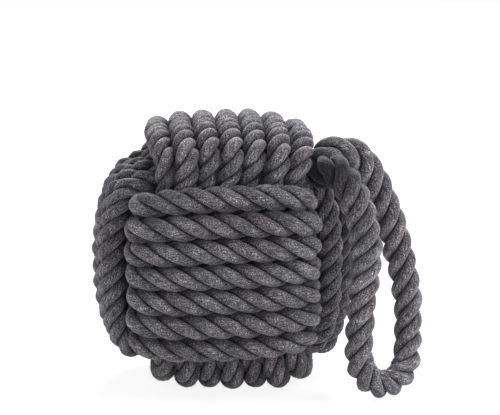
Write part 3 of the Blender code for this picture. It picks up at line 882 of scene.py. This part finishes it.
class DOORSTOP_OT_stage(bpy.types.Operator):
    """Sets the pale floor, the soft lights and the camera at the photograph's view"""

    bl_idname = "doorstop.stage"
    bl_label = "Stage"

    def execute(self, context):
        scene = context.scene
        scene.view_settings.view_transform = "Standard"
        corners = [(FLOOR_HALF * x, FLOOR_HALF * y, 0.0) for x, y in ((-1, -1), (1, -1), (1, 1), (-1, 1))]
        mesh = bpy.data.meshes.new("floor")
        mesh.from_pydata(corners, [], [(0, 1, 2, 3)])
        floor = bpy.data.objects.new("floor", mesh)
        scene.collection.objects.link(floor)
        floor.data.materials.append(self.floor_material(scene.doorstop_colours.floor))
        scene.world = self.sky()
        for name, place, size, power in LAMPS:
            self.lamp(scene, name, Vector(place), size, power)
        self.camera(scene)
        return {"FINISHED"}

    def floor_material(self, colour):
        """A matt floor that mostly glows white where it is seen, and takes the object's shadow."""
        made = bpy.data.materials.new("Pale Floor")
        made.use_nodes = True
        add = nodes_of(made.node_tree)
        matt = add("ShaderNodeBsdfPrincipled", {
            "Base Color": [*colour, 1.0], "Roughness": 0.9, "Specular IOR Level": 0.1,
        })
        white = add("ShaderNodeEmission", {"Color": (1.0, 1.0, 1.0, 1.0), "Strength": FLOOR_GLOW})
        share = add("ShaderNodeMath", {0: seen_directly(add), 1: GLOW_SHARE}, operation="MULTIPLY")
        mixed = add("ShaderNodeMixShader", {0: share.outputs[0], 1: matt.outputs[0], 2: white.outputs[0]})
        add("ShaderNodeOutputMaterial", {"Surface": mixed.outputs[0]})
        return made

    def sky(self):
        """A dim even room that looks white where it is seen."""
        world = bpy.data.worlds.new("Pale Room")
        world.use_nodes = True
        add = nodes_of(world.node_tree)
        room = add("ShaderNodeBackground", {"Color": (1.0, 1.0, 1.0, 1.0), "Strength": ROOM_LIGHT})
        white = add("ShaderNodeBackground", {"Color": (1.0, 1.0, 1.0, 1.0), "Strength": 1.0})
        mixed = add("ShaderNodeMixShader", {0: seen_directly(add), 1: room.outputs[0], 2: white.outputs[0]})
        add("ShaderNodeOutputWorld", {"Surface": mixed.outputs[0]})
        return world

    def lamp(self, scene, name, place, size, power):
        """A round area lamp that faces the knot."""
        light = bpy.data.lights.new(name, "AREA")
        light.shape = "DISK"
        light.size = size
        light.energy = power
        made = bpy.data.objects.new(name, light)
        scene.collection.objects.link(made)
        aim = (Vector(CENTRE) - place).to_track_quat("-Z", "Y")
        made.matrix_world = Matrix.Translation(place) @ aim.to_matrix().to_4x4()

    def camera(self, scene):
        """The camera at the photograph's view, whose lens and shift put the knot at its place in the frame."""
        turn, height = VIEW_TURN, VIEW_HEIGHT
        level = math.cos(height)
        back = Vector((-math.sin(turn) * level, -math.cos(turn) * level, math.sin(height)))
        eye = Vector(CENTRE) + VIEW_DISTANCE * back
        data = bpy.data.cameras.new("camera")
        made = bpy.data.objects.new("camera", data)
        scene.collection.objects.link(made)
        made.matrix_world = Matrix.Translation(eye) @ (-back).to_track_quat("-Z", "Y").to_matrix().to_4x4()
        data.sensor_width = 36.0
        data.lens = data.sensor_width * VIEW_DISTANCE * TURN_STEP_PX / TURN_STEP / FRAME_PX[0]
        off = (FRAME_PX / 2 - KNOT_CENTRE_PX) / FRAME_PX[0]
        data.shift_x, data.shift_y = float(off[0]), float(-off[1])
        scene.camera = made


class DOORSTOP_PT_panel(bpy.types.Panel):
    """Lists the pieces of the doorstop"""

    bl_idname = "DOORSTOP_PT_panel"
    bl_label = "Rope knot doorstop"
    bl_space_type = "VIEW_3D"
    bl_region_type = "UI"
    bl_category = "Doorstop"

    def draw(self, context):
        for operator in OPERATORS:
            self.layout.operator(operator.bl_idname)
        for group in (context.scene.doorstop_sizes, context.scene.doorstop_colours):
            for name in group.__annotations__:
                self.layout.prop(group, name)


OPERATORS = (
    DOORSTOP_OT_front_turns,
    DOORSTOP_OT_top_turns,
    DOORSTOP_OT_side_turns,
    DOORSTOP_OT_loop,
    DOORSTOP_OT_weight,
    DOORSTOP_OT_stage,
)
CLASSES = (DoorstopSizes, DoorstopColours, *OPERATORS, DOORSTOP_PT_panel)


def register():
    """Adds the classes, and their values to the scene."""
    for made in CLASSES:
        bpy.utils.register_class(made)
    bpy.types.Scene.doorstop_sizes = bpy.props.PointerProperty(type=DoorstopSizes)
    bpy.types.Scene.doorstop_colours = bpy.props.PointerProperty(type=DoorstopColours)


def unregister():
    """Takes them out again."""
    del bpy.types.Scene.doorstop_sizes
    del bpy.types.Scene.doorstop_colours
    for made in reversed(CLASSES):
        bpy.utils.unregister_class(made)


def main():
    """Builds the stage and all pieces."""
    register()
    bpy.ops.doorstop.stage()
    bpy.ops.doorstop.loop()
    bpy.ops.doorstop.front_turns()
    bpy.ops.doorstop.top_turns()
    bpy.ops.doorstop.side_turns()
    bpy.ops.doorstop.weight()


if __name__ == "__main__":
    main()
